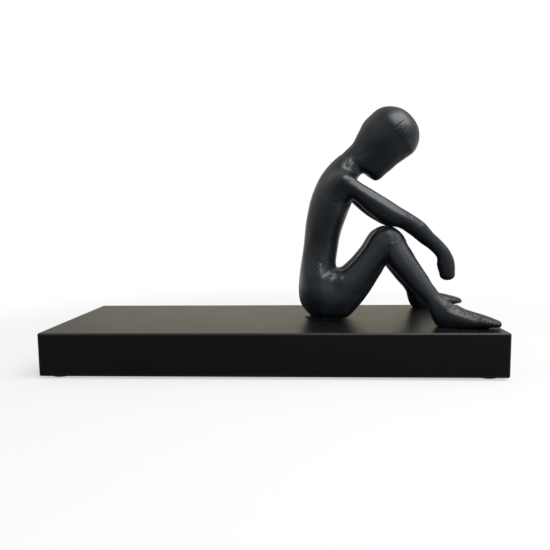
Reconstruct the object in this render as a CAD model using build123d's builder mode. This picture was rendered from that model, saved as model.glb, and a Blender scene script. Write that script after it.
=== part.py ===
"""Seated figure on a long plinth: a cast and painted ornament, in millimetres.

Six castings make the figure: a torso, a head with its neck, two arms and two legs.  Each has a spigot that
enters a socket in the torso, and its end is cut to the torso's own surface, with a narrow gap for the weld.
The figure stands on a painted wooden plinth, with a thin disc under its seat, and four screws from below hold
it by its seat and its feet.

Frame: +Z up, +X along the plinth towards the toes, origin on the table under the middle of the plinth.
The figure is sized in reaches (forward from the back of its seat), spreads (sideways from its middle plane)
and heights (up from the top of the plinth).
"""

import math
import os

from build123d import *

# Plinth and its pads
plinth_length = 400.0
plinth_width = 150.0
plinth_height = 38.0
plinth_edge_radius = 1.6
pad_diameter = 20.0
pad_thickness = 2.0
pad_inset = 15.0

# Where the figure sits on the plinth
toe_margin = 1.5
figure_offset = 5.0

# Fits between the castings
weld_gap = 0.1
spigot_clearance = 0.1
rest_gap = 0.4

# Disc under the seat
seat_disc_diameter = 36.0
seat_disc_thickness = 1.2

# Screws that hold the figure, and their washers
screw_diameter = 5.0
screw_grip = 16.0
screw_engagement = 9.0
screw_head_diameter = 9.5
screw_head_height = 3.4
screw_head_radius = 1.2
screw_slot_width = 1.3
screw_slot_depth = 1.5
screw_tip_chamfer = 0.6
washer_diameter = 14.0
washer_thickness = 1.2
screw_hole_clearance = 0.5
tapped_hole_clearance = 0.1
tapped_hole_spare = 2.0
counterbore_clearance = 2.0
seat_screws_spread = 24.0
foot_screw_lead = 11.0

# Torso, up to the neck joint
torso_reach = 51.8
torso_height = 148.0
torso_depth = 41.0
torso_width = 66.0

# Head with its neck
head_length = 63.0
head_depth = 53.6
head_width = 45.0
neck_heading = 47.4
neck_depth = 26.6
neck_width = 25.0
crown_length = 23.2
neck_spigot_diameter = 10.0
neck_spigot_length = 14.0

# Arms: each hangs from the shoulder, crosses the top of the knee and drops in front of the shins
shoulder_depth = 20.0
shoulder_width = 19.5
shoulder_cap_length = 9.0
arm_depth = 18.2
arm_width = 17.4
arm_rest_spread = 19.0
elbow_ahead = 20.7
elbow_drop = 12.2
elbow_spread = 14.5
elbow_depth = 16.2
elbow_width = 15.0
wrist_ahead = 17.9
wrist_drop = 15.7
wrist_depth = 12.4
wrist_width = 10.4
hand_length = 34.3
hand_depth = 16.4
hand_width = 10.0
hands_gap = 6.0
fingertip_length = 5.5
left_arm_lead = 4.5
arm_spigot_diameter = 8.0
arm_spigot_length = 15.0

# Legs: from the pelvis up to the knee, down to the ankle and out to the toes
hip_depth = 36.5
hip_width = 29.0
thigh_depth = 26.6
thigh_width = 27.0
knees_gap = 6.0
knee_ahead = 32.7
knee_height = 70.5
knee_depth = 35.4
knee_width = 27.0
calf_depth = 24.4
calf_width = 23.0
ankle_set_back = 9.2
ankle_height = 23.3
ankle_inset = 4.0
ankle_depth = 15.4
ankle_width = 15.5
heel_reach = 127.8
heels_gap = 86.0
heel_width = 17.0
instep_height = 23.0
sole_cut = 4.0
foot_length = 42.7
foot_width = 21.0
toe_splay = 8.5
toe_length = 3.0
toe_lift = 0.8
left_knee_lead = 1.7
left_ankle_lead = 1.2
left_toe_lead = 1.2
left_toe_lift = 3.2
leg_spigot_diameter = 10.0
leg_spigot_length = 20.0

plinth_top = pad_thickness + plinth_height
figure_start = plinth_length / 2 - toe_margin - toe_length - foot_length - heel_reach
figure_middle = Plane.XZ.offset(-figure_offset)
seat_height = plinth_top + seat_disc_thickness
knee_reach = torso_reach + knee_ahead
heel_spread = heels_gap / 2 + heel_width / 2

# Torso stations from the seat to the neck joint: reach and height as shares of the torso's,
# the heading in degrees, then depth and width as shares of the torso's
torso_station_shares = (
    (0.540, -0.030, 90.0, 0.39, 0.52),
    (0.469, 0.027, 90.0, 0.74, 0.79),
    (0.427, 0.085, 90.0, 0.95, 0.93),
    (0.398, 0.176, 90.0, 1.00, 1.00),
    (0.376, 0.270, 90.0, 0.90, 0.91),
    (0.376, 0.365, 90.0, 0.81, 0.77),
    (0.415, 0.459, 90.0, 0.81, 0.71),
    (0.463, 0.568, 88.5, 0.84, 0.76),
    (0.540, 0.676, 87.0, 0.92, 0.83),
    (0.656, 0.804, 81.0, 0.94, 0.86),
    (0.753, 0.892, 70.0, 0.83, 0.73),
    (0.869, 0.957, 57.0, 0.70, 0.50),
)

# Head stations above the neck joint: advance and rise as shares of the head's length,
# the heading in degrees, then depth and width as shares of the head's
head_station_shares = (
    (0.170, 0.004, 34.1, 0.768, 0.62),
    (0.308, 0.143, 39.8, 0.860, 0.78),
    (0.428, 0.290, 41.1, 0.946, 0.93),
    (0.596, 0.427, 44.3, 1.000, 1.00),
)

# Stations of an arm and of a leg.  Each stands on the run between two points of the limb: the points' names,
# the place between them, the drop as a share of the depth, the heading in degrees,
# then depth and width as shares of the limb's own size there
arm_station_shares = (
    ("shoulder", "rest", 0.00, 0.00, -33.0, 1.00, 1.00),
    ("shoulder", "rest", 0.32, 0.00, -32.5, 0.92, 0.93),
    ("shoulder", "rest", 0.74, 0.09, -32.0, 1.10, 0.97),
    ("shoulder", "rest", 0.96, 0.08, -31.0, 1.08, 0.99),
    ("rest", "elbow", 0.50, -0.05, -37.0, 0.94, 0.99),
    ("elbow", "wrist", 0.00, 0.01, -42.0, 1.02, 1.00),
    ("elbow", "wrist", 0.50, 0.03, -46.0, 1.06, 1.00),
    ("elbow", "wrist", 1.00, 0.00, -47.0, 1.04, 1.00),
)
leg_station_shares = (
    ("pelvis", "seat", 0.00, 0.00, 5.0, 0.84, 0.90),
    ("pelvis", "seat", 1.00, 0.00, 12.0, 1.04, 1.00),
    ("hip", "thigh", 0.00, 0.01, 28.0, 0.97, 1.00),
    ("hip", "thigh", 1.00, 0.025, 54.0, 1.03, 1.00),
    ("thigh", "knee_back", 0.47, 0.00, 46.0, 0.865, 1.00),
    ("knee_back", "knee", 0.00, -0.01, 16.0, 0.95, 1.00),
    ("knee_back", "knee", 1.00, 0.00, -3.0, 1.00, 1.00),
    ("knee_front", "calf", 0.00, 0.00, -21.0, 0.89, 0.98),
    ("knee_front", "calf", 0.50, 0.00, -34.5, 0.876, 1.00),
    ("knee_front", "calf", 1.00, -0.027, -52.0, 0.97, 1.00),
    ("calf", "ankle", 0.52, 0.00, -49.0, 0.99, 1.03),
    ("calf", "ankle", 1.00, 0.00, -51.0, 1.00, 1.00),
    ("heel", "heel", 0.00, 0.00, -15.0, 1.00, 1.00),
)

# Hand stations below the wrist: advance and drop as shares of the hand's length,
# the heading in degrees, then depth and width as shares of the hand's
hand_station_shares = (
    (0.21, 0.237, -58.0, 0.79, 1.00),
    (0.31, 0.565, -85.0, 1.00, 1.00),
    (0.35, 0.820, -90.0, 0.88, 0.92),
)

# Foot stations: place between heel and toes, the heading in degrees,
# thickness above the sole as a share of the instep's height and width as a share of the foot's
foot_station_shares = (
    (0.270, -8.0, 0.74, 0.88),
    (0.480, -12.0, 0.61, 0.97),
    (0.700, -15.0, 0.48, 1.00),
    (0.880, -16.0, 0.36, 0.88),
    (1.000, -12.0, 0.265, 0.70),
)

# Points of the torso: reach, spread and height as shares of the torso's reach, width and height
shoulder_shares = (0.772, 0.365, 0.872)
pelvis_shares = (0.425, 0.242, 0.108)
seat_shares = (0.780, 0.255, 0.130)
hip_shares = (0.917, 0.258, 0.189)
hip_joint_shares = (0.900, 0.258, 0.162)

# Where the thigh and the calf are sized, between the hip and the knee and between the knee and the ankle
thigh_share = 0.62
calf_share = 0.35

# Points behind and in front of the knee: reach, spread and height as shares of the knee's depth
knee_back_shares = (-0.194, 0.000, -0.078)
knee_front_shares = (0.145, 0.067, -0.096)

# Where an arm rests on the knee: reach as a share of the knee's depth, height as a share of the arm's
rest_reach_share = 0.175
rest_height_share = 0.52

# A rounded end: where its two runs of sections stand, as shares of a quarter circle
round_end_shares = ((0, 0.300, 0.556, 0.756), (0.756, 0.856, 0.922, 0.972))


def place(reach, spread, height):
    """A point of the figure in the part's frame."""
    return Vector(figure_start + reach, figure_offset + spread, plinth_top + height)


def between(start, end, share):
    """A point part of the way from start to end."""
    return tuple(one + (two - one) * share for one, two in zip(start, end))


def torso_point(shares):
    """A point that follows the torso."""
    reach, spread, height = shares
    return (reach * torso_reach, spread * torso_width, height * torso_height)


def oval(depth, width):
    """One closed section, in two halves that meet on its depth axis."""
    with BuildSketch() as section:
        with BuildLine():
            EllipticalCenterArc((0, 0), depth / 2, width / 2, 0, arc_size=180)
            EllipticalCenterArc((0, 0), depth / 2, width / 2, 180, arc_size=180)
        make_face()
    return section.sketch


def change_rates(stations, steps):
    """How fast each of a station's values changes there, on a smooth curve through all the stations."""
    rates = []
    for index in range(len(stations)):
        before = max(index - 1, 0)
        after = min(index, len(steps) - 1)
        arriving = [(two - one) / steps[before] for one, two in zip(stations[before], stations[before + 1])]
        leaving = [(two - one) / steps[after] for one, two in zip(stations[after], stations[after + 1])]
        weight = steps[before] / (steps[before] + steps[after])
        rates.append([one * (1 - weight) + two * weight for one, two in zip(arriving, leaving)])
    return rates


def smooth_spans(stations):
    """Four sections from each station to the next, on one smooth curve through all the stations."""
    steps = []
    for one, two in zip(stations, stations[1:]):
        turn = math.radians(abs(two[3] - one[3]))
        steps.append(math.dist(one[:3], two[:3]) + turn * (one[5] + two[5]) / 4)
    rates = change_rates(stations, steps)
    spans = []
    for index, step in enumerate(steps):
        span = []
        for share in (0, 1 / 3, 2 / 3, 1):
            rest = 1 - share
            values = zip(stations[index], stations[index + 1], rates[index], rates[index + 1])
            span.append([
                start * rest * rest * (1 + 2 * share)
                + end * share * share * (1 + 2 * rest)
                + step * share * rest * (rest * leaving - share * arriving)
                for start, end, leaving, arriving in values
            ])
        spans.append(span)
    return spans


def round_end(station, length, forward):
    """Sections that close a form roundly, before its first station or beyond its last one."""
    reach, spread, height, heading, drift, depth, width = station
    spans = []
    for shares in round_end_shares:
        span = []
        for share in shares:
            angle = share * math.pi / 2
            along = length * math.sin(angle) * (1 if forward else -1)
            size = math.cos(angle)
            span.append((
                reach + along * math.cos(math.radians(heading)),
                spread + along * drift,
                height + along * math.sin(math.radians(heading)),
                heading,
                drift,
                depth * size,
                width * size,
            ))
        spans.append(span)
    if forward:
        return spans
    return [list(reversed(span)) for span in reversed(spans)]


def skin(stations, start_length=0, end_length=0):
    """A solid through oval stations: reach, spread, height, heading in degrees, depth and width."""
    drifted = []
    for index, (reach, spread, height, heading, depth, width) in enumerate(stations):
        before = stations[max(index - 1, 0)]
        after = stations[min(index + 1, len(stations) - 1)]
        drift = (after[1] - before[1]) / math.hypot(after[0] - before[0], after[2] - before[2])
        drifted.append((reach, spread, height, heading, drift, depth, width))
    spans = smooth_spans(drifted)
    if start_length:
        spans = round_end(drifted[0], start_length, forward=False) + spans
    if end_length:
        spans = spans + round_end(drifted[-1], end_length, forward=True)
    walls = ShapeList()
    for span in spans:
        with BuildPart() as piece:
            for reach, spread, height, heading, drift, depth, width in span:
                heading = math.radians(heading)
                plane = Plane(
                    place(reach, spread, height),
                    x_dir=(-math.sin(heading), 0, math.cos(heading)),
                    z_dir=(math.cos(heading), drift, math.sin(heading)),
                )
                with BuildSketch(plane) as section:
                    add(oval(depth, width))
                if not walls:
                    walls.append(section.sketch.face())
            loft()
        walls.extend(piece.faces().filter_by(GeomType.PLANE, reverse=True))
    walls.append(section.sketch.face())
    return Solid(Shell(walls))


def torso_form(growth=0):
    """The torso without its sockets and before its seat is cut flat, grown all round by a gap."""
    stations = []
    for reach, height, heading, depth, width in torso_station_shares:
        depth = depth * torso_depth + 2 * growth
        width = width * torso_width + 2 * growth
        stations.append((reach * torso_reach, 0, height * torso_height, heading, depth, width))
    neck = (neck_heading, neck_depth + 2 * growth, neck_width + 2 * growth)
    stations.append((torso_reach, 0, torso_height, *neck))
    return skin(stations)


def head_form():
    """The head, from the neck joint to the crown."""
    stations = [(torso_reach, 0, torso_height, neck_heading, neck_depth, neck_width)]
    for advance, rise, heading, depth, width in head_station_shares:
        reach = torso_reach + advance * head_length
        height = torso_height + rise * head_length
        stations.append((reach, 0, height, heading, depth * head_depth, width * head_width))
    return skin(stations, end_length=crown_length)


def shifted(point, shares, size):
    """A point moved by shares of a size."""
    return tuple(value + share * size for value, share in zip(point, shares))


def limb_stations(points, station_shares):
    """Stations along a limb, from the places and sizes of its named points."""
    stations = []
    for start, end, share, drop, heading, depth_share, width_share in station_shares:
        reach, spread, height, depth, width = between(points[start], points[end], share)
        height -= drop * depth
        stations.append((reach, spread, height, heading, depth_share * depth, width_share * width))
    return stations


def arm_form(lead):
    """An arm on the left side, from the shoulder to the fingertips, carried forward by lead at the elbow."""
    shoulder = torso_point(shoulder_shares)
    rest_reach = knee_reach + rest_reach_share * knee_depth + lead / 2
    rest_height = knee_height + knee_depth / 2 + rest_gap + rest_height_share * arm_depth
    elbow_reach = rest_reach + elbow_ahead + lead / 2
    elbow_height = rest_height - elbow_drop
    wrist_reach = elbow_reach + wrist_ahead
    wrist_spread = hands_gap / 2 + wrist_width / 2
    wrist_height = elbow_height - wrist_drop
    points = {
        "shoulder": (*shoulder, shoulder_depth, shoulder_width),
        "rest": (rest_reach, arm_rest_spread, rest_height, arm_depth, arm_width),
        "elbow": (elbow_reach, elbow_spread, elbow_height, elbow_depth, elbow_width),
        "wrist": (wrist_reach, wrist_spread, wrist_height, wrist_depth, wrist_width),
    }
    stations = limb_stations(points, arm_station_shares)
    for advance, drop, heading, depth, width in hand_station_shares:
        reach = wrist_reach + advance * hand_length
        spread = hands_gap / 2 + hand_width / 2
        height = wrist_height - drop * hand_length
        stations.append((reach, spread, height, heading, depth * hand_depth, width * hand_width))
    return skin(stations, shoulder_cap_length, fingertip_length)


def leg_form(knee_lead, ankle_lead, toe_lead, lift):
    """A leg on the left side, from inside the pelvis to the toes, carried forward by its leads."""
    hip = torso_point(hip_shares)
    knee = (knee_reach + knee_lead, knees_gap / 2 + knee_width / 2, knee_height)
    knee_back = shifted(knee, knee_back_shares, knee_depth)
    knee_front = shifted(knee, knee_front_shares, knee_depth)
    ankle = (heel_reach - ankle_set_back + ankle_lead, heel_spread - ankle_inset, ankle_height)
    heel_depth = instep_height + sole_cut / 2
    heel = (heel_reach, heel_spread, heel_depth / 2 - sole_cut / 2)
    points = {
        "pelvis": (*torso_point(pelvis_shares), hip_depth, hip_width),
        "seat": (*torso_point(seat_shares), hip_depth, hip_width),
        "hip": (*hip, hip_depth, hip_width),
        "thigh": (*between(hip, knee_back, thigh_share), thigh_depth, thigh_width),
        "knee_back": (*knee_back, knee_depth, knee_width),
        "knee": (*knee, knee_depth, knee_width),
        "knee_front": (*knee_front, knee_depth, knee_width),
        "calf": (*between(knee, ankle, calf_share), calf_depth, calf_width),
        "ankle": (*ankle, ankle_depth, ankle_width),
        "heel": (*heel, heel_depth, heel_width),
    }
    stations = limb_stations(points, leg_station_shares)
    for share, heading, top_share, width_share in foot_station_shares:
        reach = heel_reach + share * (foot_length + toe_lead)
        spread = heel_spread + share * toe_splay
        top = top_share * instep_height + share * lift
        bottom = share * lift - (1 - share) * sole_cut
        height = (top + bottom) / 2
        stations.append((reach, spread, height, heading, top - bottom, width_share * foot_width))
    return skin(stations, end_length=toe_length)


def rod(plane, diameter, length):
    """A round bar along a plane's normal."""
    with BuildPart() as bar:
        with BuildSketch(plane):
            Circle(diameter / 2)
        extrude(amount=length)
    return bar.part


# Joint planes on the left side, each with its normal pointing into the torso
neck_joint = Plane(
    place(torso_reach, 0, torso_height),
    x_dir=(0, 1, 0),
    z_dir=(-math.cos(math.radians(neck_heading)), 0, -math.sin(math.radians(neck_heading))),
)
shoulder_joint = Plane(place(*torso_point(shoulder_shares)), x_dir=(1, 0, 0), z_dir=(0, -1, 0))
hip_joint = Plane(place(*torso_point(hip_joint_shares)), x_dir=(0, 1, 0), z_dir=(-1, 0, 0))

# Where the screws enter the figure: under the seat and under the instep of each foot
seat_reach = torso_station_shares[1][0] * torso_reach
foot_screw_spread = heel_spread + toe_splay * foot_screw_lead / foot_length
screw_places = {
    "seat_left": place(seat_reach, seat_screws_spread / 2, 0),
    "seat_right": place(seat_reach, -seat_screws_spread / 2, 0),
    "foot_left": place(heel_reach + foot_screw_lead, foot_screw_spread, 0),
    "foot_right": place(heel_reach + foot_screw_lead, -foot_screw_spread, 0),
}


def tapped_hole(name):
    """The hole that takes a screw's end."""
    diameter = screw_diameter + 2 * tapped_hole_clearance
    return rod(Plane(screw_places[name]), diameter, screw_engagement + tapped_hole_spare)


def arm_casting(lead):
    """A left arm, cut to the torso, with its spigot."""
    with BuildPart() as casting:
        add(arm_form(lead))
        add(torso_form(weld_gap), mode=Mode.SUBTRACT)
        add(rod(shoulder_joint, arm_spigot_diameter, arm_spigot_length))
    return casting.part


def seat_disc_form(growth=0):
    """The disc under the seat without its holes, grown all round by a gap."""
    base = Plane(place(seat_reach, 0, 0))
    return rod(base, seat_disc_diameter + 2 * growth, seat_disc_thickness + growth)


def leg_casting(knee_lead, ankle_lead, toe_lead, lift):
    """A left leg, cut to the torso and flat on its sole, with its spigot and its tapped hole."""
    with BuildPart() as casting:
        add(leg_form(knee_lead, ankle_lead, toe_lead, lift))
        add(torso_form(weld_gap), mode=Mode.SUBTRACT)
        add(seat_disc_form(weld_gap), mode=Mode.SUBTRACT)
        split(bisect_by=Plane.XY.offset(plinth_top), keep=Keep.TOP)
        add(rod(hip_joint, leg_spigot_diameter, leg_spigot_length))
        add(tapped_hole("foot_left"), mode=Mode.SUBTRACT)
    return casting.part


os.makedirs("parts", exist_ok=True)

# The castings

with BuildPart() as torso:
    add(torso_form())
    split(bisect_by=Plane.XY.offset(seat_height), keep=Keep.TOP)
    play = 2 * spigot_clearance
    add(rod(neck_joint, neck_spigot_diameter + play, neck_spigot_length + play), mode=Mode.SUBTRACT)
    shoulder_socket = rod(shoulder_joint, arm_spigot_diameter + play, arm_spigot_length + play)
    hip_socket = rod(hip_joint, leg_spigot_diameter + play, leg_spigot_length + play)
    for socket in (shoulder_socket, hip_socket):
        add(socket, mode=Mode.SUBTRACT)
        mirror(socket, about=figure_middle, mode=Mode.SUBTRACT)
    add(tapped_hole("seat_left"), mode=Mode.SUBTRACT)
    add(tapped_hole("seat_right"), mode=Mode.SUBTRACT)
torso.part.label = "torso"
export_step(torso.part, "parts/torso.step")

with BuildPart() as head:
    add(head_form())
    add(rod(neck_joint, neck_spigot_diameter, neck_spigot_length))
head.part.label = "head"
export_step(head.part, "parts/head.step")

with BuildPart() as left_arm:
    add(arm_casting(left_arm_lead))
left_arm.part.label = "left_arm"
export_step(left_arm.part, "parts/left_arm.step")

with BuildPart() as right_arm:
    mirror(arm_casting(0), about=figure_middle)
right_arm.part.label = "right_arm"
export_step(right_arm.part, "parts/right_arm.step")

with BuildPart() as left_leg:
    add(leg_casting(left_knee_lead, left_ankle_lead, left_toe_lead, left_toe_lift))
left_leg.part.label = "left_leg"
export_step(left_leg.part, "parts/left_leg.step")

with BuildPart() as right_leg:
    mirror(leg_casting(0, 0, 0, toe_lift), about=figure_middle)
right_leg.part.label = "right_leg"
export_step(right_leg.part, "parts/right_leg.step")

# The disc under the seat, with holes for the seat's screws

with BuildPart() as seat_disc:
    add(seat_disc_form())
    for name in ("seat_left", "seat_right"):
        hole = rod(Plane(screw_places[name]), screw_diameter + 2 * screw_hole_clearance, seat_disc_thickness)
        add(hole, mode=Mode.SUBTRACT)
seat_disc.part.label = "seat_disc"
export_step(seat_disc.part, "parts/seat_disc.step")

# The plinth, drilled from below, and its four pads

with BuildPart() as plinth:
    with BuildSketch(Plane.XY.offset(pad_thickness)):
        Rectangle(plinth_length, plinth_width)
    extrude(amount=plinth_height)
    fillet(plinth.edges(), plinth_edge_radius)
    for point in screw_places.values():
        with Locations(Plane((point.X, point.Y, pad_thickness), z_dir=(0, 0, -1))):
            CounterBoreHole(
                radius=screw_diameter / 2 + screw_hole_clearance,
                counter_bore_radius=washer_diameter / 2 + counterbore_clearance,
                counter_bore_depth=plinth_height - screw_grip,
                depth=plinth_height,
            )
plinth.part.label = "plinth"
export_step(plinth.part, "parts/plinth.step")

pad_x = plinth_length / 2 - pad_inset
pad_y = plinth_width / 2 - pad_inset
pad_places = {
    "front_right": (pad_x, -pad_y),
    "front_left": (pad_x, pad_y),
    "back_right": (-pad_x, -pad_y),
    "back_left": (-pad_x, pad_y),
}
for name, (x, y) in pad_places.items():
    with BuildPart() as pad:
        with BuildSketch(Plane((x, y, 0))):
            Circle(pad_diameter / 2)
        extrude(amount=pad_thickness)
    pad.part.label = f"pad_{name}"
    export_step(pad.part, f"parts/pad_{name}.step")

# The screws with their washers, from the bottom of each counterbore up into the figure

washer_top = plinth_top - screw_grip
washer_bottom = washer_top - washer_thickness
screw_head_bottom = washer_bottom - screw_head_height
shank_length = washer_thickness + screw_grip + screw_engagement
for name, point in screw_places.items():
    with BuildPart() as washer:
        with BuildSketch(Plane((point.X, point.Y, washer_bottom))):
            Circle(washer_diameter / 2)
            Circle(screw_diameter / 2 + screw_hole_clearance, mode=Mode.SUBTRACT)
        extrude(amount=washer_thickness)
    washer.part.label = f"washer_{name}"
    export_step(washer.part, f"parts/washer_{name}.step")

    with BuildPart() as screw:
        with BuildSketch(Plane((point.X, point.Y, screw_head_bottom))):
            Circle(screw_head_diameter / 2)
        extrude(amount=screw_head_height)
        fillet(screw.edges().group_by(Axis.Z)[0], screw_head_radius)
        with BuildSketch(Plane((point.X, point.Y, screw_head_bottom))):
            Rectangle(screw_head_diameter, screw_slot_width)
        extrude(amount=screw_slot_depth, mode=Mode.SUBTRACT)
        with BuildSketch(Plane((point.X, point.Y, washer_bottom))):
            Circle(screw_diameter / 2)
        extrude(amount=shank_length)
        chamfer(screw.edges().group_by(Axis.Z)[-1], screw_tip_chamfer)
    screw.part.label = f"screw_{name}"
    export_step(screw.part, f"parts/screw_{name}.step")
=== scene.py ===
import math

import bpy
from mathutils import Matrix, Vector
from mathutils.bvhtree import BVHTree
from mathutils.kdtree import KDTree


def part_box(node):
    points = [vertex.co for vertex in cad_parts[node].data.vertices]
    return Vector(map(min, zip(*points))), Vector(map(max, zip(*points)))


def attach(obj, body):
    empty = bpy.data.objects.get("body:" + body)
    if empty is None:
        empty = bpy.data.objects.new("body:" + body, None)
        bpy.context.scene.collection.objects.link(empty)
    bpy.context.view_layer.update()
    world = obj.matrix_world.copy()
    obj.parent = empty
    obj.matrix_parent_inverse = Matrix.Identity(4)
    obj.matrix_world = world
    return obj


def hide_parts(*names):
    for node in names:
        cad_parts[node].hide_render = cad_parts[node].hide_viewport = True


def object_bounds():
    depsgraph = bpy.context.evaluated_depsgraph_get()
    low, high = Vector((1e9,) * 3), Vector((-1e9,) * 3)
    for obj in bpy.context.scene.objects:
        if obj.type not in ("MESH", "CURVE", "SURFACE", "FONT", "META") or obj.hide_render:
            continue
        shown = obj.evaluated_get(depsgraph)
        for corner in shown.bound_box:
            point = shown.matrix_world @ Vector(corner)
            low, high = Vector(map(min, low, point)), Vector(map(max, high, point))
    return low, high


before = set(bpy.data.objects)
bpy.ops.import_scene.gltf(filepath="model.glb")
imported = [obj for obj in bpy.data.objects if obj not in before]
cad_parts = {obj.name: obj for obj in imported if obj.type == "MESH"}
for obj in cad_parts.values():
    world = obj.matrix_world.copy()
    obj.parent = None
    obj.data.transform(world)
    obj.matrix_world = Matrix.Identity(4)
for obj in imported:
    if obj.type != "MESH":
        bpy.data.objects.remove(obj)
cad_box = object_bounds()

# Lengths are in metres, angles in degrees, pixels in the photograph's 550 by 550 frame.
millimetre = 0.001

photo_pixels = 550
focal_pixels = 517.5
sensor_width = 36.0
camera_place = Vector((0.02852, -0.50121, 0.13257))
camera_yaw = 3.039
camera_pitch = -5.799
camera_roll = 0.648
camera_clip = 0.01

castings = ("torso", "head", "right_arm", "left_arm", "right_leg", "left_leg")
merge_distance = 0.002 * millimetre
skin_grid = 1.2 * millimetre
skin_overlap = 0.2 * millimetre
smooth_factor = 0.5
skin_smoothing = 2
last_smoothing = 4
least_weight = 0.001
sole_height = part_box("plinth")[1].z
seat_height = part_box("torso")[0].z
sole_snap = 0.35 * millimetre
figure_middle = (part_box("torso")[0].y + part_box("torso")[1].y) / 2
crease_angle = 55.0

# The forearms are lifted off the knees while the skin is made, so that the two don't grow together, and
# are then set down again, a little lower.
forearm_lift = 3.0 * millimetre
forearm_start = 0.075
forearm_run = 0.012
forearm_settle = 0.65 * millimetre

# How far from a joint the skin is smoothed, and how many times, for each casting that meets the torso.
# Reaches are in millimetres. A plateau above 1 keeps the full effect in the middle of a joint.
joint_reach = {"head": 6.0, "right_arm": 15.0, "left_arm": 15.0, "right_leg": 16.0, "left_leg": 16.0}
joint_passes = {"head": 14, "right_arm": 260, "left_arm": 260, "right_leg": 220, "left_leg": 220}
joint_plateau = 1.25
neck_ring_plateau = 1.3
neck_ring_reach = 1.6 * millimetre
neck_ring_depth = 0.20 * millimetre

# Weld metal in the folds at each hip and around each shoulder: its place, sideways from the figure's middle
# plane, and its radii, in millimetres.
weld_fills = (
    ((62.5, 15.0, 75.5), (9.0, 14.5, 12.0)),
    ((58.0, 21.0, 161.0), (8.5, 9.8, 15.0)),
    ((63.0, 16.5, 171.5), (8.0, 11.0, 9.5)),
)
plug_segments = 32
plug_rings = 16

# Marks of casting and welding on the near side: how strong, a half width in millimetres and a line of
# pixels. Those in a list named for both sides are repeated, mirrored, on the far side.
groove_depth = 0.9 * millimetre
ridge_height = 1.0 * millimetre
trace_step = 0.4
near_grooves = (
    (0.25, 3.4, ((354.5, 157.4), (361.8, 154.8), (368.0, 151.0), (371.0, 148.8))),
    (0.35, 0.9, ((396.0, 128.2), (399.4, 125.0), (401.6, 122.8), (405.4, 120.0))),
    (0.22, 0.8, ((401.4, 131.8), (404.6, 138.0))),
    (0.50, 0.9, ((377.0, 199.2), (379.7, 196.4))),
    (0.35, 0.8, ((345.6, 164.6), (346.8, 162.2))),
    (0.35, 0.8, ((331.3, 297.8), (334.8, 302.0))),
    (0.30, 0.7, ((335.8, 297.8), (333.0, 300.2))),
)
near_ridges = (
    (0.8, 1.1, ((405.0, 239.6), (406.0, 242.4))),
    (0.4, 1.8, ((349.4, 160.0), (347.4, 166.0))),
    (0.6, 1.5, ((382.0, 174.6), (390.0, 168.2), (398.0, 161.4), (403.6, 156.6), (409.0, 153.4))),
)
both_grooves = (
    (0.25, 1.2, ((329.5, 277.6), (335.0, 275.4))),
    (
        0.75, 5.5,
        ((352.0, 181.0), (358.0, 184.4), (373.0, 193.4), (393.0, 205.4), (408.0, 214.4), (420.0, 223.0)),
    ),
    (0.90, 8.0, ((351.0, 275.0), (356.3, 268.3), (373.0, 249.0), (383.0, 238.0))),
    (0.90, 8.0, ((358.0, 294.0), (370.0, 281.0), (384.0, 263.0))),
    (0.80, 6.0, ((452.0, 308.5), (462.0, 312.5), (476.0, 318.5))),
    (0.55, 6.5, ((411.0, 251.0), (420.4, 265.2), (435.6, 287.8))),
)
both_ridges = (
    (0.5, 2.8, ((319.8, 265.5), (320.3, 271.0), (321.4, 277.0))),
    (0.7, 4.2, ((323.0, 278.4), (327.0, 276.6), (330.6, 274.2))),
    (0.45, 1.5, ((390.6, 244.0), (393.0, 243.8))),
    (0.45, 1.6, ((396.0, 243.8), (397.6, 242.4))),
    (0.35, 1.4, ((399.6, 241.0), (401.0, 239.4))),
    (0.30, 1.3, ((394.2, 238.6), (395.8, 237.2))),
)

# Stretches painted a paler grey, partly worn paint and partly painted highlights on the neck's weld nicks,
# the face's lower edge, the hip scars and the knee chips: how strong, a half width and a line of pixels.
near_wear_and_highlights = (
    (0.5, 2.2, ((350.6, 155.8), (350.8, 160.4))),
    (0.5, 1.8, ((342.8, 161.8), (345.4, 162.6))),
)
both_wear_and_highlights = (
    (1.0, 1.5, ((380.2, 175.2), (389.2, 167.6), (397.0, 160.8), (402.8, 156.0), (408.4, 152.8))),
    (0.75, 2.6, ((319.8, 266.0), (320.3, 271.0), (321.4, 277.0))),
    (0.75, 4.2, ((322.6, 279.0), (326.0, 277.6))),
    (0.6, 4.0, ((326.0, 277.6), (332.5, 278.6))),
    (0.5, 1.4, ((390.6, 244.0), (393.0, 243.8))),
    (0.5, 1.4, ((396.0, 243.8), (397.6, 242.4))),
)

# Stretches where the paint has dried dull: how strong, a half width in millimetres and a line of pixels.
both_dulls = (
    (1.0, 9.0, ((394.0, 236.0), (400.0, 246.0), (406.0, 255.0))),
    (1.0, 9.0, ((406.0, 255.0), (413.0, 265.0), (420.0, 275.0), (427.0, 285.0), (434.0, 294.0))),
)

# A row of beads down each shin: the line that it follows, their spacing and each one's reach across it, in
# pixels, and a half width in millimetres. Each bead is raised, and painted paler as a painted highlight and
# as worn paint. The beads fade down the row, and vary from one to the next.
bead_row = ((399.6, 245.8), (406.9, 253.5), (413.9, 260.5), (420.6, 269.0), (427.1, 278.2), (435.0, 287.6))
bead_spacing = 3.6
bead_reach = 1.0
bead_half_width = 1.25
bead_height_share = 0.36
bead_highlight_share = 1.0
bead_fade = 0.035
bead_strength_sway = 0.2
bead_strength_turn = 1.9
bead_reach_sway = 0.35
bead_reach_turn = 2.7

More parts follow.
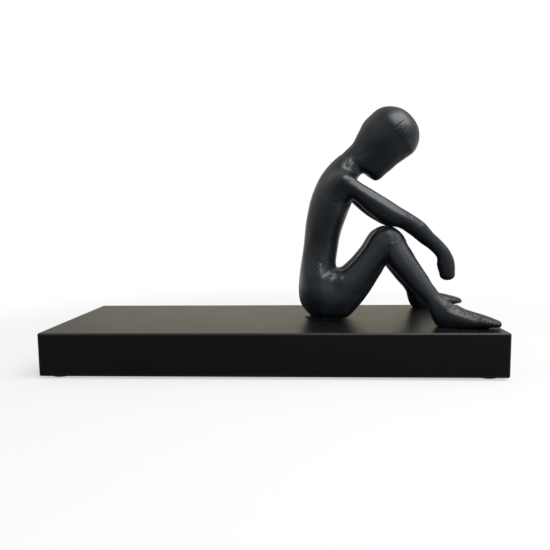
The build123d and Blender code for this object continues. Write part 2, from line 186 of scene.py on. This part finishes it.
# Pebbled stretches of the casting: how strong, a half width in millimetres and a line of pixels.
near_pebbles = (
    (0.4, 4.0, ((401.0, 121.5), (405.5, 131.0))),
    (0.4, 3.2, ((345.0, 159.0), (348.0, 165.0))),
    (0.4, 7.0, ((320.0, 232.0), (320.0, 258.0))),
    (0.4, 6.0, ((325.0, 204.0), (322.0, 226.0))),
    (0.4, 4.0, ((332.0, 250.0), (333.0, 262.0))),
)
both_pebbles = (
    (0.14, 6.0, ((391.0, 235.0), (395.0, 240.0), (399.0, 245.0))),
    (0.8, 5.5, ((446.0, 301.5), (456.0, 307.5), (470.0, 314.5), (484.0, 320.5), (495.0, 325.0))),
    (0.4, 4.5, ((386.0, 250.0), (392.0, 256.0), (397.0, 261.0))),
    (0.9, 5.0, ((314.0, 263.0), (316.5, 274.0))),
)
wave_scale = 13.0 * millimetre
wave_height = 0.45 * millimetre
pebble_scale = 1.6 * millimetre
pebble_height = 0.50 * millimetre

# The castings' paint: its colours, its roughness with what each pattern adds, its gloss and its relief.
cast_dark = (0.0078, 0.0128, 0.0186, 1)
cast_light = (0.0112, 0.0170, 0.0238, 1)
# A paler grey for worn paint, which also serves as painted highlights on nicks, scars, chips, beads and the
# face's edge.
wear_and_highlight_grey = (0.085, 0.085, 0.090, 1)
cast_roughness = 0.28
mottle_roughness = 0.07
grain_roughness = 0.05
pore_roughness = 0.05
dull_roughness = 0.33
cast_gloss = 0.62
dent_depth = 0.05 * millimetre
grain_depth = 0.03 * millimetre
pore_share = 0.15
pebble_depth = 0.40 * millimetre
wear_and_highlight_least = 0.55
wear_and_highlight_mottle = 0.8

# The plinth's paint: its colours, how far from an edge it is painted paler, as wear and as a painted
# highlight on the rounded edges, its roughness, gloss and relief.
plinth_dark = (0.0046, 0.0050, 0.0057, 1)
plinth_light = (0.0068, 0.0072, 0.0079, 1)
plinth_edge_wear_and_highlight = (0.0420, 0.0422, 0.0426, 1)
edge_highlight_reach = 2.6 * millimetre
edge_highlight_full = 0.6 * millimetre
edge_highlight_least = 0.6
edge_highlight_mottle = 0.4
plinth_roughness = 0.27
streak_roughness = 0.08
cloud_roughness = 0.06
edge_smoothness = 0.10
plinth_gloss = 0.33
streak_stretch = (0.06, 1.0, 1.0)
streak_depth = 0.05 * millimetre
speck_share = 0.5

# The steel of the screws and washers.
steel_colour = (0.58, 0.57, 0.55, 1)
steel_roughness = 0.26
turning_roughness = 0.18
turning_stretch = (1.0, 1.0, 12.0)
turning_depth = 0.02 * millimetre

# The felt of the pads.
felt_dark = (0.020, 0.020, 0.021, 1)
felt_light = (0.060, 0.060, 0.062, 1)
felt_roughness = 0.95
clump_share = 0.6
nap_depth = 0.35 * millimetre

# Faces this close to flat are merged on the plinth, and edges sharper than the second angle stay sharp.
flat_angle = 0.5
edge_angle = 40.0

# The pads: how their cut edge is rounded.
pad_rounding = 0.7 * millimetre
pad_rounding_steps = 4
pad_rounded_angle = 50.0
pad_sides = 48

# The floor.
white = (1, 1, 1, 1)
floor_front = 0.42
floor_depth = 30.0
floor_width = 60.0
floor_drop = 0.1 * millimetre
paper_grey = (0.40, 0.40, 0.40, 1)
paper_roughness = 0.9
paper_glow = 0.58

# Where the floor fades from shadow to white, where gloss sees it white, and how grey it is to other rays.
shadow_fade = (0.26, 0.60)
gloss_fade = (0.45, 0.90)
depth_fade = (-0.1, 0.3)
right_fade = (0.25, 0.60)
front_grey = (0.14, 0.14, 0.14, 1)
back_grey = (0.30, 0.30, 0.30, 1)
right_grey = (0.55, 0.55, 0.55, 1)

# The lamp.
lamp_aim = Vector((0.10, 0.0, 0.14))
lamp_place = Vector((0.571, -0.396, 1.088))
lamp_width = 1.25
lamp_depth = 0.85
lamp_power = 13.4

# How bright the studio is all round, and what is added or lost in some directions.
studio_level = 0.23
behind_level = 0.04
behind_high_level = 0.25
right_level = 0.28
left_high_level = 0.26
low_front_loss = 0.62
warm_tint = (1.0, 0.95, 0.75, 1)

# Where each of those directions starts and where it is full, as a share of a ray's length along an axis.
right_span = (0.2, 0.9)
left_span = (-0.2, -0.9)
left_side_span = (-0.1, -0.6)
raised_span = (0.0, 0.5)
behind_span = (-0.1, 0.5)
high_span = (0.35, 0.75)
low_span = (0.1, -0.35)
front_span = (0.2, -0.5)
straight_behind_span = (0.80, 0.985)
level_span = (0.5, 0.1)


def alone(piece):
    """Selects one piece, and nothing else, as the active one."""
    bpy.ops.object.select_all(action="DESELECT")
    piece.select_set(True)
    bpy.context.view_layer.objects.active = piece


def shape(piece, kind, **settings):
    """Adds a modifier to a piece, sets it and applies it."""
    alone(piece)
    modifier = piece.modifiers.new(kind.lower(), kind)
    for name, value in settings.items():
        setattr(modifier, name, value)
    bpy.ops.object.modifier_apply(modifier=modifier.name)


def copy_of(node):
    """A copy of a CAD node's mesh as a new piece, with its loose triangles merged."""
    piece = bpy.data.objects.new(node + "_copy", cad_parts[node].data.copy())
    bpy.context.scene.collection.objects.link(piece)
    piece.data.materials.clear()
    alone(piece)
    bpy.ops.object.mode_set(mode="EDIT")
    bpy.ops.mesh.select_all(action="SELECT")
    bpy.ops.mesh.remove_doubles(threshold=merge_distance)
    bpy.ops.object.mode_set(mode="OBJECT")
    return piece


def ease(share):
    """A smooth rise from 0 to 1 as the share goes from 0 to 1."""
    held = min(max(share, 0.0), 1.0)
    return held * held * (3 - 2 * held)


def stands_for(piece, node, material):
    """Hands a finished piece in for a CAD node and its material."""
    piece.name = node + "_piece"
    piece.data.materials.clear()
    piece.data.materials.append(material)
    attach(piece, "root")
    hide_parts(node)


# Shader maths.


class Value:
    """A number that varies over a surface: one output socket, with Python's arithmetic on it."""

    def __init__(self, finish, socket):
        self.finish = finish
        self.socket = socket

    def math(self, operation, *values):
        sockets = dict(enumerate(values))
        return self.finish.node("Math", {"operation": operation}, sockets)

    def __add__(self, other):
        return self.math("ADD", self, other)

    def __radd__(self, other):
        return self.math("ADD", other, self)

    def __sub__(self, other):
        return self.math("SUBTRACT", self, other)

    def __rsub__(self, other):
        return self.math("SUBTRACT", other, self)

    def __mul__(self, other):
        return self.math("MULTIPLY", self, other)

    def __rmul__(self, other):
        return self.math("MULTIPLY", other, self)

    def __abs__(self):
        return self.math("ABSOLUTE", self)

    def least(self, other):
        return self.math("MINIMUM", self, other)

    def most(self, other):
        return self.math("MAXIMUM", self, other)

    def ramp(self, low, high):
        """0 where the value is at low, 1 where it is at high, smoothly between."""
        sockets = {"Value": self, "From Min": low, "From Max": high}
        return self.finish.node("MapRange", {"interpolation_type": "SMOOTHSTEP"}, sockets)


class Finish:
    """A material's or the world's node tree."""

    def __init__(self, owner):
        self.owner = owner
        owner.use_nodes = True
        self.tree = owner.node_tree

    def node(self, kind, settings, sockets, output=0):
        """Adds a node: its settings first, then a value or a link on each socket. Gives one output."""
        made = self.tree.nodes.new("ShaderNode" + kind)
        for name, value in settings.items():
            setattr(made, name, value)
        for name, value in sockets.items():
            self.feed(made.inputs[name], value)
        return Value(self, made.outputs[output])

    def feed(self, socket, value):
        """Sets a socket's value, or links it where the value varies."""
        if isinstance(value, Value):
            self.tree.links.new(value.socket, socket)
        else:
            socket.default_value = value

    def place(self):
        """Where a point is on the piece, as a vector."""
        return self.node("TexCoord", {}, {}, "Object")

    def stored(self, name):
        """The value that the piece stores under this name for each vertex."""
        return self.node("Attribute", {"attribute_name": name}, {}, "Fac")

    def stretched(self, place, stretch):
        """A place vector with each axis multiplied, for a pattern that runs along one of them."""
        return self.node("Mapping", {"vector_type": "POINT"}, {"Vector": place, "Scale": stretch})

    def noise(self, place, scale, detail=2.0, roughness=0.5):
        """Soft noise between 0 and 1, with this many lumps a metre."""
        sockets = {"Vector": place, "Scale": scale, "Detail": detail, "Roughness": roughness}
        return self.node("TexNoise", {}, sockets)

    def mixed(self, share, first, second):
        """A colour between two. The node takes colours at sockets 6 and 7, and gives one at output 2."""
        sockets = {0: share, 6: first, 7: second}
        return self.node("Mix", {"data_type": "RGBA"}, sockets, 2)

    def bump(self, height, depth, under=None):
        """A normal from a height between 0 and 1 that stands for this depth."""
        sockets = {"Height": height, "Distance": depth, "Strength": 1.0}
        if under is not None:
            sockets["Normal"] = under
        return self.node("Bump", {}, sockets)

    def seen(self, backdrop):
        """1 for a ray from the camera, through glass, or mirrored straight to the backdrop."""
        kinds = ("Camera", "Glossy", "Transmission")
        camera, gloss, glass = [self.node("LightPath", {}, {}, "Is " + kind + " Ray") for kind in kinds]
        return camera.most(glass).most(gloss * backdrop)

    def surface(self, **sockets):
        """Sets the Principled shader's sockets, named with underscores for spaces."""
        shader = self.tree.nodes["Principled BSDF"]
        for name, value in sockets.items():
            self.feed(shader.inputs[name.replace("_", " ")], value)
        return self.owner


def cast_paint():
    """Blue-black satin paint on rough-cast metal, painted a paler grey where it is worn and as painted
    highlights.
    """
    paint = Finish(bpy.data.materials.new("cast_paint"))
    place = paint.place()
    mottle = paint.noise(place, scale=70.0, detail=4.0, roughness=0.6)
    dents = paint.noise(place, scale=190.0)
    grain = paint.noise(place, scale=620.0, detail=1.0)
    pores = paint.noise(place, scale=1500.0).ramp(low=0.60, high=0.72)
    pebbles = paint.noise(place, scale=480.0, roughness=0.55).ramp(low=0.42, high=0.66)
    pebbled = paint.stored("pebbled")
    wear_and_highlight = paint.stored("wear_and_highlight")
    dull = paint.stored("dull")
    colour = paint.mixed(mottle.ramp(low=0.3, high=0.7), cast_dark, cast_light)
    # Painted highlight: the paler grey of worn paint also stands in for the light caught on nicks, scars,
    # chips, beads and the face's edge.
    wear_and_highlight_share = wear_and_highlight * (wear_and_highlight_least + wear_and_highlight_mottle * mottle)
    colour = paint.mixed(wear_and_highlight_share.least(1.0), colour, wear_and_highlight_grey)
    roughness = cast_roughness + mottle_roughness * mottle + grain_roughness * grain
    roughness = roughness + pore_roughness * pores + dull_roughness * dull
    broad = paint.bump(dents, dent_depth)
    fine = paint.bump(grain - pore_share * pores, grain_depth, broad)
    relief = paint.bump(pebbles * pebbled, pebble_depth, fine)
    return paint.surface(
        Base_Color=colour, Roughness=roughness, Normal=relief, Specular_IOR_Level=cast_gloss
    )


def plinth_paint():
    """Satin black paint on a wooden block, rubbed smoother along its edges and painted paler there, as wear
    and as a painted highlight.
    """
    paint = Finish(bpy.data.materials.new("plinth_paint"))
    place = paint.place()
    low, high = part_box("plinth")
    inset = []
    for axis, middle, half in zip("XYZ", (low + high) / 2, (high - low) / 2):
        along = paint.node("SeparateXYZ", {}, {"Vector": place}, axis)
        inset.append(half - abs(along - middle))
    pair_low = inset[0].least(inset[1])
    pair_high = inset[0].most(inset[1])
    edge_distance = pair_low.most(pair_high.least(inset[2]))
    streaks = paint.noise(paint.stretched(place, streak_stretch), scale=420.0, detail=3.0, roughness=0.55)
    mottle = paint.noise(place, scale=26.0, detail=3.0)
    speck = paint.noise(place, scale=900.0)
    # Painted highlight: paler paint near the edges stands in for the light on the rounded edges, as well as
    # wear.
    wear_and_highlight = edge_distance.ramp(edge_highlight_reach, edge_highlight_full) * (edge_highlight_least + edge_highlight_mottle * mottle)
    colour = paint.mixed(mottle, plinth_dark, plinth_light)
    colour = paint.mixed(wear_and_highlight, colour, plinth_edge_wear_and_highlight)
    roughness = plinth_roughness + streak_roughness * streaks + cloud_roughness * mottle
    roughness = roughness - edge_smoothness * wear_and_highlight
    relief = paint.bump(streaks + speck_share * speck, streak_depth)
    return paint.surface(
        Base_Color=colour, Roughness=roughness, Normal=relief, Specular_IOR_Level=plinth_gloss
    )


def screw_steel():
    """Bright steel with fine turning marks."""
    steel = Finish(bpy.data.materials.new("screw_steel"))
    turning = steel.noise(steel.stretched(steel.place(), turning_stretch), scale=900.0)
    roughness = steel_roughness + turning_roughness * turning
    relief = steel.bump(turning, turning_depth)
    return steel.surface(Base_Color=steel_colour, Metallic=1.0, Roughness=roughness, Normal=relief)


def pad_felt():
    """Dark grey felt with a short nap."""
    felt = Finish(bpy.data.materials.new("pad_felt"))
    place = felt.place()
    fibre = felt.noise(place, scale=1800.0, detail=4.0, roughness=0.7)
    clump = felt.noise(place, scale=320.0)
    colour = felt.mixed(fibre, felt_dark, felt_light)
    relief = felt.bump(fibre + clump_share * clump, nap_depth)
    return felt.surface(Base_Color=colour, Roughness=felt_roughness, Normal=relief)


# The camera, and where its pixels lie on the figure.

camera_turn = (
    Matrix.Rotation(math.radians(camera_yaw), 3, "Z")
    @ Matrix.Rotation(math.radians(camera_pitch), 3, "X")
    @ Matrix.Rotation(math.radians(camera_roll), 3, "Y")
)


def sight(pixel):
    """The direction in which the camera sees a pixel."""
    across = (pixel[0] - photo_pixels / 2) / focal_pixels
    down = (pixel[1] - photo_pixels / 2) / focal_pixels
    return (camera_turn @ Vector((across, 1, -down))).normalized()


def make_camera():
    """The camera at the photograph's viewing angle."""
    camera = bpy.data.objects.new("camera", bpy.data.cameras.new("camera"))
    bpy.context.scene.collection.objects.link(camera)
    camera.data.sensor_width = sensor_width
    camera.data.lens = sensor_width * focal_pixels / photo_pixels
    camera.data.clip_start = camera_clip
    level = Matrix.Rotation(math.radians(90), 4, "X")
    camera.matrix_world = Matrix.Translation(camera_place) @ camera_turn.to_4x4() @ level
    bpy.context.scene.camera = camera


# The figure: the six castings are joined into one skin, so that neck, shoulders and hips run
# into each other as they do on the welded and painted figure, and the skin is then parted again.


def raise_forearms(points, lift):
    """Moves forearms up by the lift, ahead of the elbows, or down where the lift is negative."""
    for point in points:
        point.co.z += lift * ease((point.co.x - forearm_start) / forearm_run)


def tree_of(piece):
    """A search tree of a piece's faces."""
    points = [vertex.co.copy() for vertex in piece.data.vertices]
    faces = [tuple(face.vertices) for face in piece.data.polygons]
    return BVHTree.FromPolygons(points, faces)


def weigh(piece, name, weights):
    """Stores a weight for each vertex as a vertex group."""
    group = piece.vertex_groups.new(name=name)
    for index, weight in enumerate(weights):
        if weight > least_weight:
            group.add([index], weight, "REPLACE")
    return name


def weld_fill(side, place, radii):
    """A plug of weld metal in one fold, which the joined skin takes up."""
    middle = Vector((place[0], side * place[1], place[2])) * millimetre
    middle.y += figure_middle
    bpy.ops.object.select_all(action="DESELECT")
    bpy.ops.mesh.primitive_uv_sphere_add(
        segments=plug_segments, ring_count=plug_rings, radius=1.0, location=middle
    )
    plug = bpy.context.object
    plug.scale = Vector(radii) * millimetre
    bpy.ops.object.transform_apply(location=True, rotation=True, scale=True)
    return plug


def joined_skin():
    """One skin over the six castings. Each face's material slot says which casting it belongs to."""
    copies = [copy_of(node) for node in castings]
    trees = []
    for piece in copies:
        if "arm" in piece.name:
            raise_forearms(piece.data.vertices, forearm_lift)
        trees.append(tree_of(piece))
    skin = copies[0]
    fills = [weld_fill(side, place, radii) for side in (-1, 1) for place, radii in weld_fills]
    shape(skin, "DISPLACE", strength=skin_overlap, mid_level=0.0)
    for piece in copies + fills:
        piece.select_set(True)
    bpy.ops.object.join()
    skin.name = "figure_skin"
    alone(skin)
    bpy.ops.object.duplicate()
    core = bpy.context.object
    shape(skin, "REMESH", mode="VOXEL", voxel_size=skin_grid)
    far = [[tree.find_nearest(vertex.co)[3] for tree in trees] for vertex in skin.data.vertices]
    for node in castings:
        skin.data.materials.append(bpy.data.materials.new(node + "_share"))
    for face in skin.data.polygons:
        sums = [sum(far[index][casting] for index in face.vertices) for casting in range(len(castings))]
        face.material_index = sums.index(min(sums))
    shape(skin, "SMOOTH", factor=smooth_factor, iterations=skin_smoothing)
    away = [1.0] * len(far)
    for index, node in enumerate(castings[1:], 1):
        reach = joint_reach[node] * millimetre
        near = [ease(joint_plateau - max(row[0], row[index]) / reach) for row in far]
        away = [min(share, 1 - weight) for share, weight in zip(away, near)]
        joint = weigh(skin, node + "_joint", near)
        shape(skin, "SMOOTH", factor=smooth_factor, iterations=joint_passes[node], vertex_group=joint)
    weigh(skin, "away_from_joints", away)
    head = castings.index("head")
    ring = [ease(neck_ring_plateau - max(row[0], row[head]) / neck_ring_reach) for row in far]
    weigh(skin, "neck_ring", ring)
    shape(skin, "SUBSURF", levels=1, render_levels=1)
    shape(skin, "SHRINKWRAP", target=core, vertex_group="away_from_joints")
    shape(skin, "SMOOTH", factor=smooth_factor, iterations=last_smoothing)
    bpy.data.objects.remove(core)
    arms = set()
    for face in skin.data.polygons:
        if "arm" in castings[face.material_index]:
            arms.update(face.vertices)
    raise_forearms([skin.data.vertices[index] for index in arms], -forearm_lift - forearm_settle)
    return skin


def flatten_soles(skin):
    """Sets the soles flat on the plinth and the seat flat on its disc."""
    rests = ((("torso",), seat_height), (("right_leg", "left_leg"), sole_height))
    for nodes, height in rests:
        under = set()
        for face in skin.data.polygons:
            if castings[face.material_index] in nodes:
                under.update(face.vertices)
        for index in under:
            point = skin.data.vertices[index].co
            if point.z < height + sole_snap:
                point.z = height


def traced(skin, pixels):
    """Points on the skin under a line of pixels."""
    points = []
    for start, end in zip(pixels, pixels[1:]):
        steps = max(2, round(math.dist(start, end) / trace_step))
        for step in range(steps + 1):
            pixel = [one + (two - one) * step / steps for one, two in zip(start, end)]
            found, point, _, _ = skin.ray_cast(camera_place, sight(pixel))
            if found:
                points.append(point)
    return points


def mirrored(skin, points):
    """The same points on the figure's far side."""
    flipped = [Vector((point.x, 2 * figure_middle - point.y, point.z)) for point in points]
    return [skin.closest_point_on_mesh(point)[1] for point in flipped]


def marked(skin, tree, near_marks, both_marks):
    """How strongly each vertex is marked, from strengths, half widths and lines of pixels."""
    weights = [0.0] * len(skin.data.vertices)
    lines = []
    for strength, width, pixels in near_marks + both_marks:
        lines.append((strength, width, traced(skin, pixels)))
    for strength, width, pixels in both_marks:
        lines.append((strength, width, mirrored(skin, traced(skin, pixels))))
    for strength, width, points in lines:
        reach = width * millimetre
        for point in points:
            for _, index, distance in tree.find_range(point, reach):
                weights[index] = max(weights[index], strength * ease(1 - distance / reach))
    return weights


def shin_beads(share):
    """Short marks across a shin, one after the other down its row, the lower ones fainter."""
    beads = []
    for start, end in zip(bead_row, bead_row[1:]):
        length = math.dist(start, end)
        along = [(two - one) / length for one, two in zip(start, end)]
        for step in range(round(length / bead_spacing)):
            place = [one + part * step * bead_spacing for one, part in zip(start, along)]
            count = len(beads)
            reach = bead_reach * (1.0 + bead_reach_sway * math.sin(bead_reach_turn * count))
            ends = [(place[0] + side * along[1], place[1] - side * along[0]) for side in (-reach, reach)]
            sway = bead_strength_sway * math.sin(bead_strength_turn * count)
            beads.append((share * (1.0 - bead_fade * count + sway), bead_half_width, tuple(ends)))
    return tuple(beads)


def clouds(name, scale):
    """A soft cloud pattern with lumps of this size."""
    pattern = bpy.data.textures.new(name, "CLOUDS")
    pattern.noise_scale = scale
    pattern.noise_depth = 1
    return pattern


def store(skin, name, values):
    """Stores a value for each vertex, for the paint to read."""
    skin.data.attributes.new(name, "FLOAT", "POINT").data.foreach_set("value", values)


def mark_skin(skin):
    """The cast surface: soft waves, pebbled stretches, weld ridges, creases and nicks."""
    bpy.context.view_layer.update()
    tree = KDTree(len(skin.data.vertices))
    for vertex in skin.data.vertices:
        tree.insert(vertex.co, vertex.index)
    tree.balance()
    grooves = weigh(skin, "grooves", marked(skin, tree, near_grooves, both_grooves))
    raised = both_ridges + shin_beads(bead_height_share)
    ridges = weigh(skin, "ridges", marked(skin, tree, near_ridges, raised))
    stretches = marked(skin, tree, near_pebbles, both_pebbles)
    pebbled = weigh(skin, "pebble_weight", stretches)
    store(skin, "pebbled", stretches)
    # Painted highlight: the paler grey of worn paint and of the light on nicks, scars, chips and beads is
    # stored for the paint.
    store(skin, "wear_and_highlight", marked(skin, tree, near_wear_and_highlights, both_wear_and_highlights + shin_beads(bead_highlight_share)))
    store(skin, "dull", marked(skin, tree, (), both_dulls))
    waves = {"texture_coords": "LOCAL", "mid_level": 0.5}
    shape(skin, "DISPLACE", texture=clouds("waves", wave_scale), strength=wave_height, **waves)
    shape(
        skin, "DISPLACE", texture=clouds("pebbles", pebble_scale), strength=pebble_height,
        vertex_group=pebbled, **waves,
    )
    shape(skin, "DISPLACE", strength=-neck_ring_depth, mid_level=0.0, vertex_group="neck_ring")
    shape(skin, "DISPLACE", strength=ridge_height, mid_level=0.0, vertex_group=ridges)
    shape(skin, "DISPLACE", strength=-groove_depth, mid_level=0.0, vertex_group=grooves)


def hold_in_box(skin):
    """Keeps the marks on the toes inside the CAD's box."""
    for vertex in skin.data.vertices:
        vertex.co.x = min(vertex.co.x, cad_box[1].x)


def part_skin(skin):
    """Parts the skin into the six castings again, and closes each where it was cut."""
    alone(skin)
    bpy.ops.object.mode_set(mode="EDIT")
    bpy.ops.mesh.select_all(action="SELECT")
    bpy.ops.mesh.separate(type="MATERIAL")
    bpy.ops.object.mode_set(mode="OBJECT")
    pieces = {}
    for piece in list(bpy.context.selected_objects):
        slot = piece.data.polygons[0].material_index
        pieces[piece.data.materials[slot].name.removesuffix("_share")] = piece
    for piece in pieces.values():
        alone(piece)
        bpy.ops.object.mode_set(mode="EDIT")
        bpy.ops.mesh.select_all(action="SELECT")
        bpy.ops.mesh.fill_holes(sides=0)
        bpy.ops.mesh.select_all(action="SELECT")
        bpy.ops.mesh.normals_make_consistent(inside=False)
        bpy.ops.object.mode_set(mode="OBJECT")
        bpy.ops.object.shade_smooth_by_angle(angle=math.radians(crease_angle))
    return pieces


def make_figure(material):
    """The six castings, with the cast detail on them."""
    skin = joined_skin()
    mark_skin(skin)
    flatten_soles(skin)
    hold_in_box(skin)
    pieces = part_skin(skin)
    for node, piece in pieces.items():
        stands_for(piece, node, material)


def make_plinth(material):
    """The plinth, with its flat faces shaded flat and its rounded edges smooth."""
    piece = copy_of("plinth")
    bpy.ops.object.mode_set(mode="EDIT")
    bpy.ops.mesh.select_all(action="SELECT")
    bpy.ops.mesh.dissolve_limited(angle_limit=math.radians(flat_angle))
    bpy.ops.object.mode_set(mode="OBJECT")
    bpy.ops.object.shade_smooth_by_angle(angle=math.radians(edge_angle))
    shape(piece, "WEIGHTED_NORMAL", mode="FACE_AREA", weight=100, keep_sharp=True)
    stands_for(piece, "plinth", material)


def make_pad(node, material):
    """A felt disc under the plinth, its cut edge rounded by use."""
    low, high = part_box(node)
    bpy.ops.object.select_all(action="DESELECT")
    bpy.ops.mesh.primitive_cylinder_add(
        vertices=pad_sides, radius=(high.x - low.x) / 2, depth=high.z - low.z, location=(low + high) / 2
    )
    piece = bpy.context.object
    bpy.ops.object.transform_apply(location=True, rotation=True, scale=True)
    shape(
        piece, "BEVEL", width=pad_rounding, segments=pad_rounding_steps,
        limit_method="ANGLE", angle_limit=math.radians(pad_rounded_angle),
    )
    alone(piece)
    bpy.ops.object.shade_smooth_by_angle(angle=math.radians(edge_angle))
    stands_for(piece, node, material)


def make_fixings(steel, paint):
    """The screws and washers keep their CAD shape and get their steel, and the seat's disc its paint."""
    for name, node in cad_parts.items():
        if name.startswith(("screw", "washer", "seat_disc")):
            node.data.materials.clear()
            node.data.materials.append(paint if name == "seat_disc" else steel)


# The stage and the light.


def make_floor():
    """A sheet that keeps the object's shadow. It is white to the camera, and dim in the gloss."""
    bpy.ops.object.select_all(action="DESELECT")
    bpy.ops.mesh.primitive_plane_add(size=1.0, location=(0, floor_depth / 2 - floor_front, -floor_drop))
    floor = bpy.context.object
    floor.name = "floor"
    floor.scale = (floor_width, floor_depth, 1.0)
    bpy.ops.object.transform_apply(location=True, rotation=True, scale=True)
    paper = Finish(bpy.data.materials.new("floor_paper"))
    paper.surface(Base_Color=paper_grey, Roughness=paper_roughness, Specular_IOR_Level=0.0)
    lit = Value(paper, paper.tree.nodes["Principled BSDF"].outputs["BSDF"])
    distance = paper.node("VectorMath", {"operation": "LENGTH"}, {0: paper.place()}, "Value")
    across = paper.node("SeparateXYZ", {}, {"Vector": paper.place()}, "X")
    depth = paper.node("SeparateXYZ", {}, {"Vector": paper.place()}, "Y")
    seen = paper.seen(depth.ramp(*gloss_fade))
    grey = paper.mixed(depth.ramp(*depth_fade), front_grey, back_grey)
    grey = paper.mixed(across.ramp(*right_fade), grey, right_grey)
    dim = paper.node("BsdfDiffuse", {}, {"Color": grey})
    glow = paper.node("Emission", {}, {"Color": white, "Strength": paper_glow})
    backdrop = paper.node("Emission", {}, {"Color": white, "Strength": 1.0})
    near = paper.node("AddShader", {}, {0: lit, 1: glow})
    background = paper.node("MixShader", {}, {0: distance.ramp(*shadow_fade), 1: near, 2: backdrop})
    sheet = paper.node("MixShader", {}, {0: seen, 1: dim, 2: background})
    paper.feed(paper.tree.nodes["Material Output"].inputs["Surface"], sheet)
    floor.data.materials.append(paper.owner)


def make_lamp():
    """One wide soft lamp above, on the right."""
    lamp = bpy.data.objects.new("soft_lamp", bpy.data.lights.new("soft_lamp", "AREA"))
    bpy.context.scene.collection.objects.link(lamp)
    lamp.data.shape = "RECTANGLE"
    lamp.data.size = lamp_width
    lamp.data.size_y = lamp_depth
    lamp.data.energy = lamp_power
    lamp.location = lamp_place
    lamp.rotation_euler = (lamp_aim - lamp_place).to_track_quat("-Z", "Y").to_euler()


def make_world():
    """A studio that is white to the camera, and dim and warm behind in the gloss."""
    world = Finish(bpy.data.worlds.new("studio"))
    bpy.context.scene.world = world.owner
    direction = world.node("TexCoord", {}, {}, "Generated")
    across, depth, height = [
        world.node("SeparateXYZ", {}, {"Vector": direction}, axis) for axis in ("X", "Y", "Z")
    ]
    right = across.ramp(*right_span)
    left = across.ramp(*left_span)
    left_high = across.ramp(*left_side_span) * height.ramp(*raised_span)
    behind = depth.ramp(*behind_span)
    behind_high = behind * height.ramp(*high_span)
    low_front = height.ramp(*low_span) * depth.ramp(*front_span)
    level = studio_level + behind_level * behind + behind_high_level * behind_high
    level = level + right_level * right + left_high_level * left_high
    level = level * (1 - low_front_loss * low_front)
    seen = world.seen(depth.ramp(*straight_behind_span) * height.ramp(*level_span))
    camera_ray = world.node("LightPath", {}, {}, "Is Camera Ray")
    warmth = behind * (1 - right) * (1 - left) * (1 - camera_ray)
    background = world.tree.nodes["Background"]
    world.feed(background.inputs["Color"], world.mixed(warmth, white, warm_tint))
    world.feed(background.inputs["Strength"], seen + (1 - seen) * level)


make_camera()
iron_paint = cast_paint()
make_figure(iron_paint)
make_plinth(plinth_paint())
felt = pad_felt()
for name in list(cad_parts):
    if name.startswith("pad"):
        make_pad(name, felt)
make_fixings(screw_steel(), iron_paint)
make_floor()
make_lamp()
make_world()
bpy.context.scene.view_settings.view_transform = "Standard"
